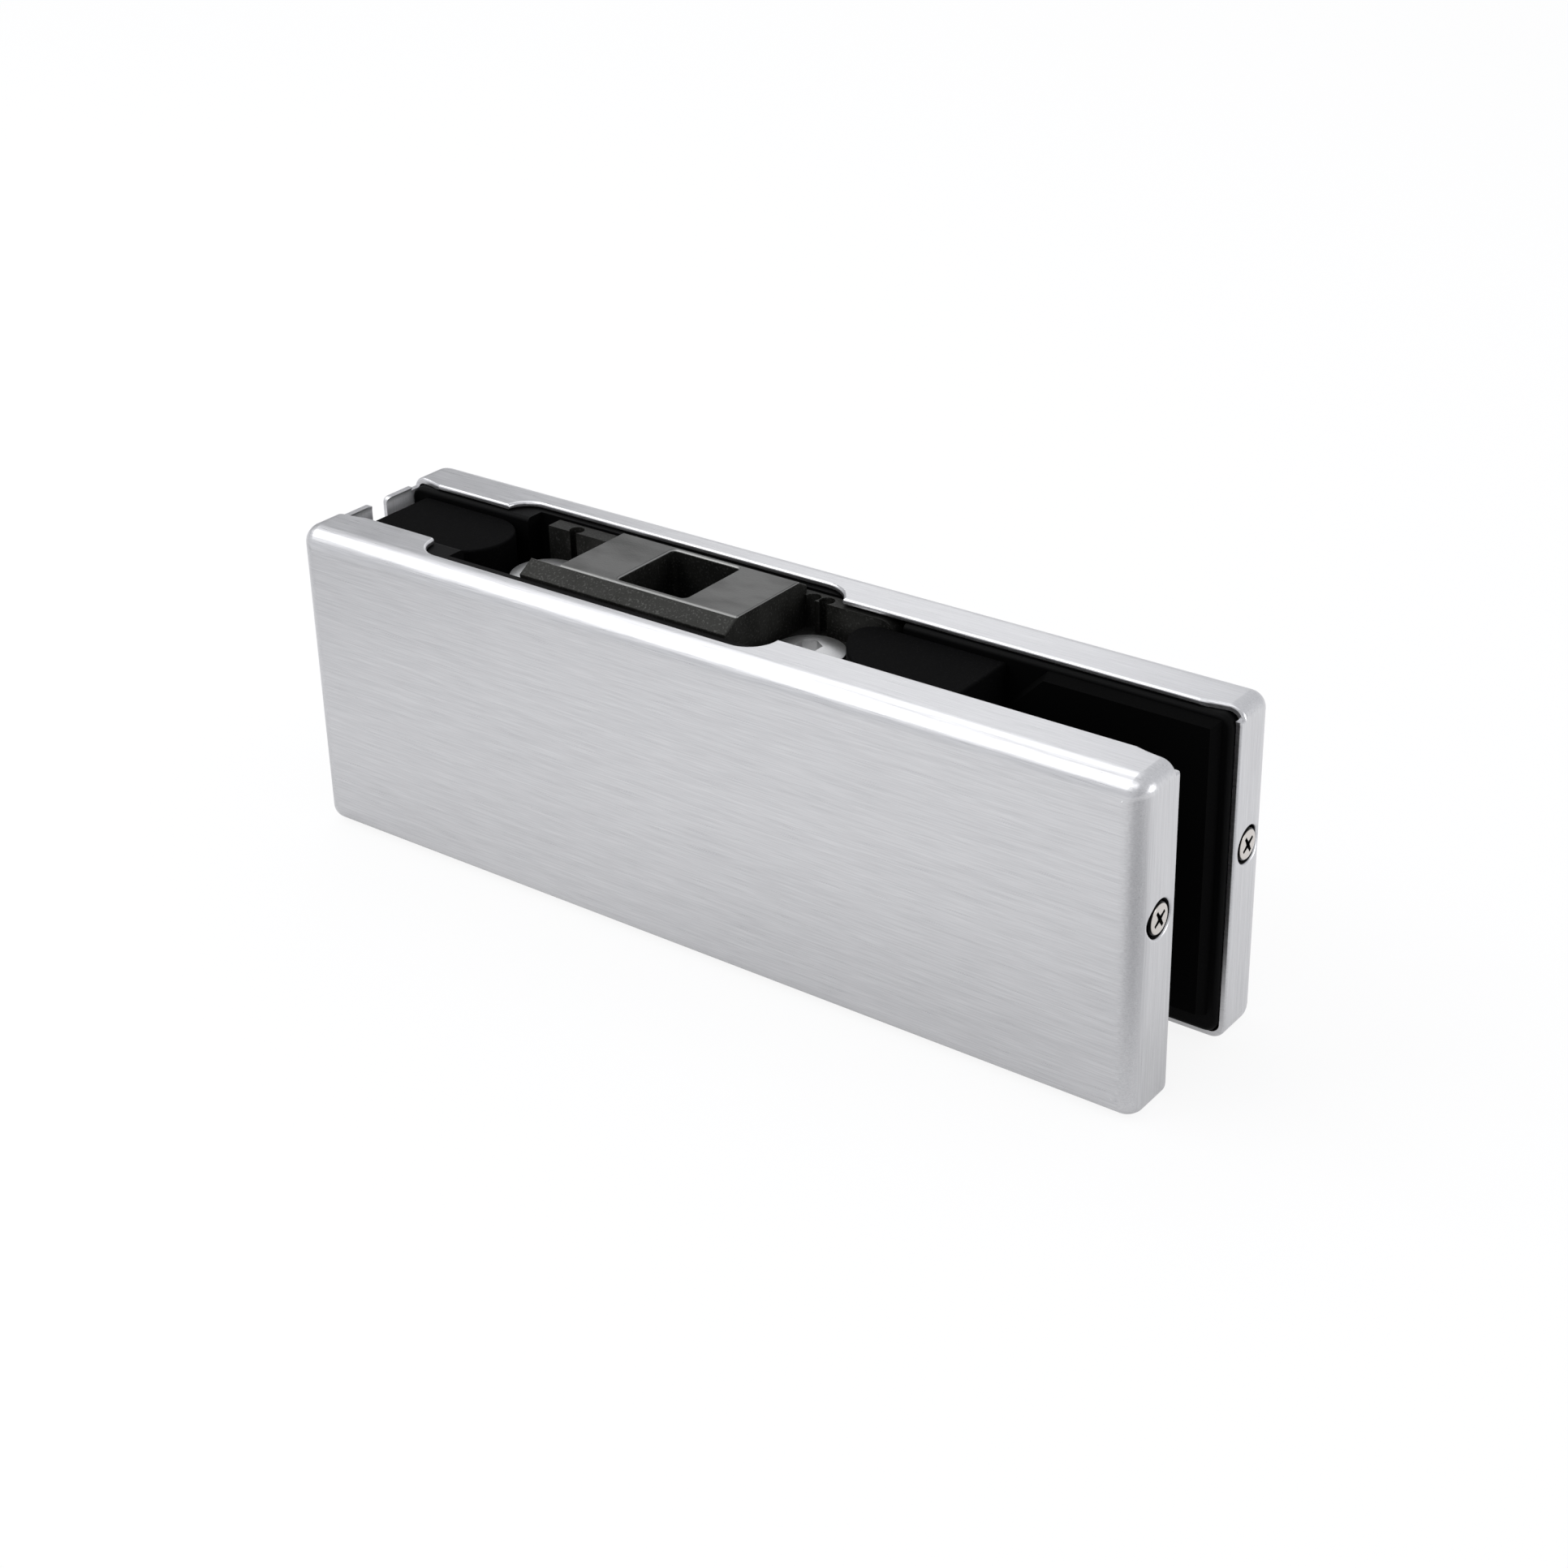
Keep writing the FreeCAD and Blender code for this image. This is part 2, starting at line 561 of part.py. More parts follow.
def insert_pocket(body, side):
    """Pocket for the insert: wide where its plate lies, narrow and deep for its block."""
    sketch = plane_sketch(body, "XZ_Plane", "%d * %s" % (side, JAW))
    plate_heel = "%s - rear_prong - travel_heel - slide_clearance" % PIVOT
    plate_toe = "%s + ear_reach + travel_toe + slide_clearance" % PIVOT
    block_heel = "%s - travel_heel - slide_clearance" % BLOCK_HEEL
    block_toe = "%s + travel_toe + slide_clearance" % BLOCK_TOE
    block_foot = "%s - slide_clearance" % INSERT_FOOT
    outline(sketch, [(plate_heel, PLATE_FOOT), (block_heel, PLATE_FOOT),
                     (block_heel, block_foot), (block_toe, block_foot),
                     (block_toe, PLATE_FOOT), (plate_toe, PLATE_FOOT),
                     (plate_toe, "fitting_height"), (plate_heel, "fitting_height")])
    pocket(body, sketch, "%s + slide_clearance - %s" % (INSERT_SIDE, JAW), side)


def nut_slots(body, side):
    sketch = plane_sketch(body, "XZ_Plane", "%d * %s" % (side, JAW))
    for middle in (HEEL_SCREW, TOE_SCREW):
        rectangle(sketch, "%s - nut_length / 2 - nut_clearance" % middle,
                  "%s - nut_height - nut_clearance" % NUT_TOP,
                  "%s + nut_length / 2 + nut_clearance" % middle, NUT_TOP)
    pocket(body, sketch, "nut_width / 2 + nut_clearance - %s" % JAW, side)


def clamp_half(label, side):
    """Die-cast jaw of the clamp. The clamp screws pass the front one and thread the rear."""
    body = new_body(label)
    jaw, back = "%d * %s" % (side, JAW), "%d * %s" % (side, BODY_BACK)
    ends = ("0 - %s" % BODY_END, BODY_FOOT, BODY_END, BODY_TOP)
    sketch = plane_sketch(body, "XZ_Plane", jaw)
    rectangle(sketch, *ends)
    pad(body, sketch, "%s - %s" % (BODY_BACK, JAW), side)
    fillet(body, edges_at(body, y=back), "body_edge_radius")
    fillet(body, corners_of(body, *ends), "body_corner_radius")
    fillet(body, edges_at(body, y=jaw), "body_rim_radius")
    insert_pocket(body, side)
    nut_slots(body, side)
    lighten(body, side)
    hole = "clamp_bore" if side < 0 else "clamp_thread + 2 * thread_fit"
    for x in (HEEL_BORE, TOE_BORE):
        bore(body, "XZ_Plane", jaw, x, CLAMP_LEVEL, hole, "fitting_width / 2", side)
        if side < 0:
            depth = "clamp_head_set + clamp_head_height + washer_gauge"
            bore(body, "XZ_Plane", back, x, CLAMP_LEVEL, "clamp_counterbore", depth, -side)
    spot = ("%d * %s" % (side, COVER_SCREW_SIDE), "cover_screw_level")
    seat = "%s - %s" % (BODY_END, COVER_SCREW_SEAT)
    bore(body, "YZ_Plane", BODY_END, *spot, "cover_thread + 2 * thread_fit",
         "%s + cover_screw_length + 1" % seat, -1)
    bore(body, "YZ_Plane", BODY_END, *spot, "cover_seat", seat, -1)
    return body


def gasket(label, side):
    """Glass pad: an upright leg at the toe end and a lower leg along the whole fitting."""
    body = new_body(label)
    toe, heel = "%s - gasket_side_margin" % BODY_END, "gasket_side_margin - %s" % BODY_END
    foot, head = GASKET_FOOT, "%s - gasket_top_margin" % BODY_TOP
    inner = "(%s + spacer_length + gasket_gap)" % TOE_NOSE
    sketch = plane_sketch(body, "XZ_Plane", "%d * %s" % (side, JAW))
    outline(sketch, [(heel, foot), (toe, foot), (toe, head), ("%s + gasket_corner" % inner, head),
                     (inner, "%s - gasket_corner" % head), (inner, "%s + gasket_rail" % foot),
                     (heel, "%s + gasket_rail" % foot)])
    pad(body, sketch, "gasket_thickness", -side, "0 - gasket_taper")
    return body


def spacer(label, corners, middle):
    """Block between the clamp halves, with the clamp screw passing through it."""
    body = new_body(label)
    sketch = plane_sketch(body, "XY_Plane", SPACER_FOOT)
    outline(sketch, corners)
    pad(body, sketch, "%s - %s" % (SPACER_TOP, SPACER_FOOT), 1)
    fillet(body, edges_at(body, z=SPACER_TOP), "spacer_edge")
    bore(body, "XZ_Plane", "0 - %s" % JAW, middle, CLAMP_LEVEL, "clamp_bore", "2 * %s" % JAW, 1)
    return body


def heel_spacer():
    """Spacer with a half round nose toward the insert."""
    shoulder, back = "%s - %s" % (HEEL_NOSE, JAW), "%s - spacer_length" % HEEL_NOSE
    corners = [(back, "0 - %s" % JAW), (shoulder, "0 - %s" % JAW, JAW, 1),
               (HEEL_NOSE, "0", JAW, 1), (shoulder, JAW), (back, JAW)]
    return spacer("heel_spacer", corners, HEEL_BORE)


def toe_spacer():
    """Spacer whose nose is drawn out on its rear side and swept back on its front side."""
    back, tip = "%s + spacer_length" % TOE_NOSE, "(%s - nose_lead)" % TOE_NOSE
    corners = [(back, "0 - %s" % JAW), (back, JAW),
               ("%s + nose_corner" % tip, JAW, "nose_corner", 1), (tip, "%s - nose_corner" % JAW),
               (tip, "nose_shoulder", "nose_sweep", 1),
               ("%s + nose_cut" % tip, "0 - %s" % JAW)]
    return spacer("toe_spacer", corners, TOE_BORE)


def section_pad(body, corners, start, length, toward):
    """Pad a section in Y and Z along the door, from a level on X."""
    sketch = plane_sketch(body, "YZ_Plane", start)
    outline(sketch, corners)
    return pad(body, sketch, length, toward)


def insert_block(body):
    """Raised block with its two long bevels and broken edges."""
    out, low = "0 - %s" % INSERT_SIDE, "%s - bevel_drop" % INSERT_TOP
    flat = "(%s - bevel_width)" % INSERT_SIDE
    section_pad(body, [(out, INSERT_FOOT), (INSERT_SIDE, INSERT_FOOT), (INSERT_SIDE, low),
                       (flat, INSERT_TOP), ("0 - %s" % flat, INSERT_TOP), (out, low)],
                BLOCK_HEEL, "insert_length", 1)
    fillet(body, edges_at(body, x=BLOCK_TOE, y=INSERT_SIDE), "block_corner")
    edges = []
    for index, edge in enumerate(body.Shape.Edges, 1):
        box = edge.BoundBox
        if box.ZMax > number(low) - 0.01 and box.ZMin > number(low) - 0.01:
            if box.XMin > number(BLOCK_TOE) - 2 or box.XLength > number("insert_length") - 2:
                edges.append("Edge%d" % index)
    fillet(body, edges, "broken_edge")


def insert_arms(body):
    """Clamping plate, front prong, and the rear prong and ear, all level with the block's sides."""
    out, low = "0 - %s" % INSERT_SIDE, "%s - bevel_drop" % INSERT_TOP
    flat = "(%s - bevel_width)" % INSERT_SIDE
    sketch = plane_sketch(body, "XY_Plane", PLATE_FOOT)
    rectangle(sketch, "%s - plate_heel" % PIVOT, out, "%s + plate_toe" % PIVOT, INSERT_SIDE)
    pad(body, sketch, "plate_gauge", 1)

    inner = "0 - prong_gap / 2"
    brow = "%s - (prong_gap / 2 - %s) * bevel_drop / bevel_width" % (INSERT_TOP, flat)
    section_pad(body, [(out, PLATE_FOOT), (inner, PLATE_FOOT), (inner, brow), (out, low)],
                "%s - front_prong" % PIVOT, "front_prong - insert_length / 2 + 1", 1)
    sketch = plane_sketch(body, "XZ_Plane", "prong_gap / 2")
    ear, prong = "(%s + ear_reach)" % PIVOT, "%s - rear_prong" % PIVOT
    outline(sketch, [(prong, PLATE_FOOT), (ear, PLATE_FOOT),
                     (ear, "%s - ear_radius" % PRONG_TOP, "ear_radius", 1),
                     ("%s - ear_radius" % ear, PRONG_TOP), (prong, PRONG_TOP)])
    pad(body, sketch, "(insert_width - prong_gap) / 2", 1)


def insert_hollows(body):
    """Hollows in the rear prong and ear, one beside each screw, with small bites in their rim."""
    sketch = plane_sketch(body, "XY_Plane", INSERT_TOP)
    for end, block in ((-1, BLOCK_HEEL), (1, BLOCK_TOE)):
        far = "%s + %d * hollow_reach" % (PIVOT, end)
        outline(sketch, [(far, "prong_gap / 2", "hollow_radius", -end),
                         (block, "prong_gap / 2 + hollow_depth"), (block, "prong_gap / 2")])
    pocket(body, sketch, "%s - %s" % (INSERT_TOP, PLATE_TOP), -1)
    sketch = plane_sketch(body, "XY_Plane", INSERT_TOP)
    for end, spot in ((1, "first_bite"), (1, "second_bite"), (-1, "third_bite")):
        circle(sketch, "%s + %d * %s" % (PIVOT, end, spot), "prong_gap / 2 + bite_set",
               "bite_diameter")
    pocket(body, sketch, "%s - %s" % (INSERT_TOP, PLATE_TOP), -1)


def insert_slots(body):
    """Open slots in the two ends of the plate, so that the insert slides under its screws."""
    sketch = plane_sketch(body, "XY_Plane", PLATE_TOP)
    half = "(screw_slot / 2)"
    for end, spot in ((-1, "slot_heel"), (1, "slot_toe")):
        tip = "%s + %d * %s" % (PIVOT, end, spot)
        turn = "%s + %d * %s" % (tip, end, half)
        mouth = "%s + %d * (rear_prong + 2)" % (PIVOT, end)
        outline(sketch, [(mouth, "0 - %s" % half), (turn, "0 - %s" % half, half, -end),
                         (tip, "0", half, -end), (turn, half), (mouth, half)])
    pocket(body, sketch, "plate_gauge", -1)


def insert_socket(body):
    """Tapered socket for the spindle, with a broken edge at its mouth."""
    half_x, half_y = "socket_length / 2", "socket_width / 2"
    sketch = plane_sketch(body, "XY_Plane", INSERT_TOP)
    outline(sketch, rounded("(%s - %s)" % (PIVOT, half_x), "(0 - %s)" % half_y,
                            "(%s + %s)" % (PIVOT, half_x), "(%s)" % half_y, "socket_corner"))
    pocket(body, sketch, "insert_height", -1, "socket_taper")
    rim = []
    for name in edges_at(body, z=INSERT_TOP):
        centre = body.Shape.getElement(name).CenterOfMass
        if (abs(centre.x - number(PIVOT)) < number(half_x) + 0.01
                and abs(centre.y) < number(half_y) + 0.01):
            rim.append(name)
    chamfer(body, rim, "socket_rim")


def pivot_insert():
    body = new_body("pivot_insert")
    insert_block(body)
    insert_arms(body)
    insert_hollows(body)
    insert_slots(body)
    insert_socket(body)
    return body


def insert_screw(label, x):
    """Screw with a wide crowned head that clamps the plate of the insert."""
    crown = "((insert_head ^ 2 / 4 + insert_head_crown ^ 2) / (2 * insert_head_crown))"
    rim, tip = "%s + insert_head_rim" % PLATE_TOP, "%s - insert_screw_length" % PLATE_TOP
    body = turned(label, "XZ_Plane", "0", x,
                  [("0", tip), ("insert_thread / 2", tip),
                   ("insert_thread / 2", PLATE_TOP), ("insert_head / 2", PLATE_TOP),
                   ("insert_head / 2", rim, crown, 1), ("0", "%s + insert_head_crown" % rim)])
    key_socket(body, "XY_Plane", "%s + insert_head_crown" % rim, x, "0", "insert_key",
               "insert_key_depth", -1)
    return body


def insert_nut(label, x):
    """Bar nut that lies across both clamp halves under the plate of the insert."""
    body = new_body(label)
    sketch = plane_sketch(body, "XY_Plane", NUT_TOP)
    rectangle(sketch, "%s - nut_length / 2" % x, "0 - nut_width / 2",
              "%s + nut_length / 2" % x, "nut_width / 2")
    pad(body, sketch, "nut_height", -1)
    bore(body, "XY_Plane", NUT_TOP, x, "0", "insert_thread + 2 * thread_fit", "nut_height", -1)
    return body


def clamp_screw(label, x):
    """Low-head screw that pulls the clamp halves together."""
    seat = "0 - %s" % CLAMP_SEAT
    top = "%s - clamp_head_height" % seat
    body = turned(label, "XY_Plane", CLAMP_LEVEL, x,
                  [("0", top), ("clamp_head / 2 - clamp_head_edge", top),
                   ("clamp_head / 2", "%s + clamp_head_edge" % top), ("clamp_head / 2", seat),
                   ("clamp_thread / 2", seat), ("clamp_thread / 2", "%s - clamp_tip_set" % BODY_BACK),
                   ("0", "%s - clamp_tip_set" % BODY_BACK)])
    key_socket(body, "XZ_Plane", top, x, CLAMP_LEVEL, "clamp_key", "clamp_key_depth", 1)
    return body


def clamp_washer(label, x):
    body = new_body(label)
    sketch = plane_sketch(body, "XZ_Plane", "0 - %s" % CLAMP_SEAT)
    circle(sketch, x, CLAMP_LEVEL, "clamp_washer")
    circle(sketch, x, CLAMP_LEVEL, "clamp_bore")
    pad(body, sketch, "washer_gauge", 1)
    return body


def cross_recess(body, y):
    """Cross recess in the head, as two slots over each other."""
    for quarter in (0, 90):
        sketch = plane_sketch(body, "YZ_Plane", "fitting_length / 2 - cover_head_set")
        sketch.setExpression("AttachmentOffset.Base.x", bound(y))
        sketch.setExpression("AttachmentOffset.Base.y", bound("cover_screw_level"))
        sketch.setExpression("AttachmentOffset.Rotation.Angle", bound("cross_turn + %d" % quarter))
        doc.recompute()
        rectangle(sketch, "0 - cross_slot / 2", "0 - cross_span / 2", "cross_slot / 2", "cross_span / 2")
        pocket(body, sketch, "cross_depth", -1)


def cover_screw(label, side):
    """Small cross-recessed screw that holds a cover to the end of its clamp half."""
    y = "%d * %s" % (side, COVER_SCREW_SIDE)
    top = "fitting_length / 2 - cover_head_set"
    body = new_body(label)
    sketch = plane_sketch(body, "XY_Plane", "cover_screw_level")
    sketch.setExpression("AttachmentOffset.Base.y", bound(y))
    doc.recompute()
    tip = "%s - cover_screw_length" % COVER_SCREW_SEAT
    outline(sketch, [(tip, "0"), (tip, "cover_thread / 2"), (COVER_SCREW_SEAT, "cover_thread / 2"),
                     (COVER_SCREW_SEAT, "cover_head / 2"),
                     ("%s - cover_head_round" % top, "cover_head / 2", "cover_head_round", -1),
                     (top, "cover_head / 2 - cover_head_round"), (top, "0")])
    feature = body.newObject("PartDesign::Revolution", "turning")
    feature.Profile = sketch
    feature.ReferenceAxis = (sketch, ["H_Axis"])
    feature.Angle = 360
    settle(feature)
    cross_recess(body, y)
    return body


fill_sheet()
parts = [
    cover("front_cover", -1),
    cover("rear_cover", 1),
    clamp_half("front_body", -1),
    clamp_half("rear_body", 1),
    heel_spacer(),
    toe_spacer(),
    pivot_insert(),
    insert_screw("insert_screw_heel", HEEL_SCREW),
    insert_screw("insert_screw_toe", TOE_SCREW),
    insert_nut("insert_nut_heel", HEEL_SCREW),
    insert_nut("insert_nut_toe", TOE_SCREW),
    clamp_screw("clamp_screw_heel", HEEL_BORE),
    clamp_screw("clamp_screw_toe", TOE_BORE),
    clamp_washer("clamp_washer_heel", HEEL_BORE),
    clamp_washer("clamp_washer_toe", TOE_BORE),
    gasket("front_gasket", -1),
    gasket("rear_gasket", 1),
    cover_screw("front_cover_screw", -1),
    cover_screw("rear_cover_screw", 1),
]

doc.recompute()
for item in doc.Objects:
    if "Invalid" in item.State or "Error" in item.State:
        raise RuntimeError("%s (%s) did not build" % (item.Name, item.Label))

os.makedirs("parts", exist_ok=True)
for part in parts:
    if part.Shape.isNull() or not part.Shape.isValid() or len(part.Shape.Solids) != 1:
        raise RuntimeError("%s is not one valid solid" % part.Label)
    part.Shape.exportStep("parts/%s.step" % part.Label)
    box = part.Shape.BoundBox
    print("%-18s x %7.2f %7.2f  y %7.2f %7.2f  z %7.2f %7.2f  %9.1f mm3" % (
        part.Label, box.XMin, box.XMax, box.YMin, box.YMax, box.ZMin, box.ZMax, part.Shape.Volume))
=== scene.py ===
import bpy
import math
from mathutils import Matrix, Vector

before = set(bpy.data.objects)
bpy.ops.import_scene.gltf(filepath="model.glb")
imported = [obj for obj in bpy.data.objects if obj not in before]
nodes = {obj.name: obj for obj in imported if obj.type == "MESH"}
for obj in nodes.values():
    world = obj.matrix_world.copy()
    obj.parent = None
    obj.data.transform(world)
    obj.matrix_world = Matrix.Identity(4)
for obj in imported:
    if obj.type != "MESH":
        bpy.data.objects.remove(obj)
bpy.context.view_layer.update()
print("stage: frame loaded")


# Small helpers for building node trees

def newNode(tree, kind, **values):
    node = tree.nodes.new(kind)
    for name, value in values.items():
        setattr(node, name, value)
    return node


def wire(tree, source, target):
    tree.links.new(source, target)


def mathNode(tree, operation, first, second=None, third=None, clamp=False):
    node = newNode(tree, "ShaderNodeMath", operation=operation, use_clamp=clamp)
    for socket, value in zip(node.inputs, (first, second, third)):
        if value is None:
            continue
        if isinstance(value, (int, float)):
            socket.default_value = value
        else:
            wire(tree, value, socket)
    return node.outputs[0]


def split(tree, vector):
    node = newNode(tree, "ShaderNodeSeparateXYZ")
    wire(tree, vector, node.inputs[0])
    return node.outputs


def scaled(tree, vector, scale):
    node = newNode(tree, "ShaderNodeVectorMath", operation="MULTIPLY")
    wire(tree, vector, node.inputs[0])
    node.inputs[1].default_value = scale
    return node.outputs[0]


def noise(tree, vector, scale, detail, roughness):
    node = newNode(tree, "ShaderNodeTexNoise")
    wire(tree, vector, node.inputs["Vector"])
    node.inputs["Scale"].default_value = scale
    node.inputs["Detail"].default_value = detail
    node.inputs["Roughness"].default_value = roughness
    return node.outputs["Fac"]


def spread(tree, value, low, high, toLow=0.0, toHigh=1.0, curve="LINEAR"):
    # what lies from low to high comes out from toLow to toHigh
    node = newNode(tree, "ShaderNodeMapRange", interpolation_type=curve)
    wire(tree, value, node.inputs["Value"])
    node.inputs["From Min"].default_value = low
    node.inputs["From Max"].default_value = high
    node.inputs["To Min"].default_value = toLow
    node.inputs["To Max"].default_value = toHigh
    return node.outputs["Result"]


def mixColour(tree, factor, first, second):
    node = newNode(tree, "ShaderNodeMix", data_type="RGBA")
    wire(tree, factor, node.inputs[0])
    for socket, value in ((node.inputs[6], first), (node.inputs[7], second)):
        if isinstance(value, tuple):
            socket.default_value = (*value, 1.0)
        else:
            wire(tree, value, socket)
    return node.outputs[2]


def group(name, inputs, outputs):
    tree = bpy.data.node_groups.new(name, "ShaderNodeTree")
    for label, kind, value in inputs:
        socket = tree.interface.new_socket(name=label, in_out="INPUT", socket_type=kind)
        if value is not None:
            socket.default_value = value
    for label in outputs:
        tree.interface.new_socket(name=label, in_out="OUTPUT", socket_type="NodeSocketFloat")
    return tree, newNode(tree, "NodeGroupInput"), newNode(tree, "NodeGroupOutput")


def useGroup(tree, made, **values):
    node = newNode(tree, "ShaderNodeGroup", node_tree=made)
    for name, value in values.items():
        socket = node.inputs[name]
        if isinstance(value, float):
            socket.default_value = value
        else:
            wire(tree, value, socket)
    return node.outputs


def bumped(tree, height, strength, distance):
    node = newNode(tree, "ShaderNodeBump")
    node.inputs["Strength"].default_value = strength
    node.inputs["Distance"].default_value = distance
    wire(tree, height, node.inputs["Height"])
    return node.outputs["Normal"]


def shaded(tree, place, patches):
    # a level of 1 from which soft patches (centre, reach, depth) are taken away
    level = 1.0
    for centre, reach, depth in patches:
        apart = newNode(tree, "ShaderNodeVectorMath", operation="DISTANCE")
        wire(tree, place, apart.inputs[0])
        apart.inputs[1].default_value = centre
        near = spread(tree, apart.outputs["Value"], 0.0, reach, 1.0, 0.0, "SMOOTHSTEP")
        level = mathNode(tree, "MULTIPLY_ADD", near, -depth, level)
    return mathNode(tree, "MAXIMUM", level, 0.0)


def material(name, metallic, roughness, **extra):
    made = bpy.data.materials.new(name)
    made.use_nodes = True
    tree = made.node_tree
    shader = tree.nodes["Principled BSDF"]
    shader.inputs["Metallic"].default_value = metallic
    shader.inputs["Roughness"].default_value = roughness
    for label, value in extra.items():
        shader.inputs[label].default_value = value
    place = newNode(tree, "ShaderNodeTexCoord").outputs["Object"]
    return made, tree, shader, place


# Shared effects

# How long and how thick the grinding marks and the broader bands are, in millimetres
grainLook = {"marks": (8.0, 0.18), "bands": (25.0, 0.45), "detail": 3.0, "roughness": 0.6}
# Which part of the fine grain shows as speckle, and how much higher the soft lumps stand
skinLook = {"grain": 4000.0, "lump": 500.0, "detail": 3.0, "speckle": (0.55, 0.75),
            "lumpShare": 1.5}


def makeGrain():
    # marks of the grinding belt, along the fitting or upright
    tree, inside, out = group("brushedGrain", [("Place", "NodeSocketVector", None),
                                               ("Upright", "NodeSocketFloat", 0.0)],
                              ["Marks", "Bands"])
    place, upright = inside.outputs["Place"], inside.outputs["Upright"]
    detail, roughness = grainLook["detail"], grainLook["roughness"]
    for label, (length, width) in (("Marks", grainLook["marks"]), ("Bands", grainLook["bands"])):
        along, across = 1000 / length, 1000 / width
        mix = newNode(tree, "ShaderNodeMix", data_type="FLOAT")
        wire(tree, upright, mix.inputs[0])
        for socket, stretch in ((mix.inputs[2], (along, across, across)),
                                (mix.inputs[3], (across, across, along))):
            wire(tree, noise(tree, scaled(tree, place, stretch), 1.0, detail, roughness), socket)
        wire(tree, mix.outputs[0], out.inputs[label])
    return tree


def makeSkin():
    # fine grain and soft lumps of a cast or moulded surface
    tree, inside, out = group("castSkin", [("Place", "NodeSocketVector", None),
                                           ("Grain", "NodeSocketFloat", skinLook["grain"]),
                                           ("Lump", "NodeSocketFloat", skinLook["lump"])],
                              ["Speckle", "Height"])
    levels = []
    for label in ("Grain", "Lump"):
        node = newNode(tree, "ShaderNodeTexNoise")
        wire(tree, inside.outputs["Place"], node.inputs["Vector"])
        wire(tree, inside.outputs[label], node.inputs["Scale"])
        node.inputs["Detail"].default_value = skinLook["detail"]
        levels.append(node.outputs["Fac"])
    fine, coarse = levels
    wire(tree, spread(tree, fine, *skinLook["speckle"]), out.inputs["Speckle"])
    height = mathNode(tree, "MULTIPLY_ADD", coarse, skinLook["lumpShare"], fine)
    wire(tree, height, out.inputs["Height"])
    return tree


brushedGrain = makeGrain()
castSkin = makeSkin()
print("stage: shared effects")


# Covers

# The pairs are the levels between which the tone goes from dark to colour, the roughness from
# smooth to dull, and the marks from level to upright. The inner levels, in metres, compare a
# point's place times the way it faces; below them it is on the inner side of the sheet.
coverLook = {"colour": (0.67, 0.67, 0.68), "dark": (0.54, 0.54, 0.552), "bandShare": 0.4,
             "tone": (0.48, 0.92), "roughness": 0.32, "gloss": (0.3, 0.7), "smoother": 0.05,
             "duller": 0.06, "anisotropy": 0.35, "markDepth": 0.4, "markHeight": 0.00002,
             "endFacing": (0.8, 0.9), "innerLevels": {"X": -0.07, "Y": -0.0155},
             "innerRoughness": 0.6, "innerMetal": 0.35}


def makeCoverSteel():
    look = coverLook
    made, tree, shader, place = material("coverSteel", 1.0, look["roughness"],
                                         Anisotropic=look["anisotropy"])
    normal = newNode(tree, "ShaderNodeNewGeometry").outputs["Normal"]
    facing = split(tree, normal)
    # the end flanges are ground upright, all the rest along the fitting
    upright = spread(tree, mathNode(tree, "ABSOLUTE", facing["X"]), *look["endFacing"])
    grain = useGroup(tree, brushedGrain, Place=place, Upright=upright)
    marks = grain["Marks"]
    tone = mathNode(tree, "MULTIPLY_ADD", grain["Bands"], look["bandShare"], marks)
    colour = mixColour(tree, spread(tree, tone, *look["tone"]), look["dark"], look["colour"])
    wire(tree, colour, shader.inputs["Base Color"])
    wire(tree, bumped(tree, marks, look["markDepth"], look["markHeight"]), shader.inputs["Normal"])
    # the inner side of the sheet faces the middle of the fitting and isn't ground
    spot = split(tree, place)
    inward = None
    for axis, level in look["innerLevels"].items():
        outward = mathNode(tree, "MULTIPLY", spot[axis], facing[axis])
        side = mathNode(tree, "LESS_THAN", outward, level)
        inward = side if inward is None else mathNode(tree, "MAXIMUM", inward, side)
    ground = spread(tree, marks, *look["gloss"], look["roughness"] - look["smoother"],
                    look["roughness"] + look["duller"])
    rougher = mathNode(tree, "MULTIPLY", inward, look["innerRoughness"] - look["roughness"])
    wire(tree, mathNode(tree, "ADD", ground, rougher), shader.inputs["Roughness"])
    metal = mathNode(tree, "MULTIPLY_ADD", inward, look["innerMetal"] - 1, 1.0)
    wire(tree, metal, shader.inputs["Metallic"])
    # the highlight is drawn out across the grinding marks
    along = newNode(tree, "ShaderNodeCombineXYZ")
    wire(tree, mathNode(tree, "SUBTRACT", 1.0, upright), along.inputs["X"])
    wire(tree, upright, along.inputs["Z"])
    across = newNode(tree, "ShaderNodeVectorMath", operation="CROSS_PRODUCT")
    wire(tree, normal, across.inputs[0])
    wire(tree, along.outputs[0], across.inputs[1])
    wire(tree, across.outputs[0], shader.inputs["Tangent"])
    return made


# Black clamp halves, gaskets and spacers

castingLook = {"colour": (0.0017, 0.0017, 0.0018), "speckle": (0.0032, 0.0032, 0.0034),
               "roughness": 0.5, "gloss": 0.05, "grain": 3500.0, "lump": 600.0,
               "skinDepth": 0.25, "skinHeight": 0.00005}
gasketLook = {"colour": (0.0019, 0.0019, 0.0019), "speckle": (0.0032, 0.0032, 0.0033),
              "roughness": 0.6, "gloss": 0.015, "grain": 5000.0, "lump": 300.0,
              "skinDepth": 0.15, "skinHeight": 0.00005}
spacerLook = {"colour": (0.0014, 0.0014, 0.0015), "speckle": (0.005, 0.005, 0.0054),
              "roughness": 0.75, "gloss": 0.03, "grain": 3000.0, "lump": 500.0,
              "skinDepth": 0.5, "skinHeight": 0.00005}


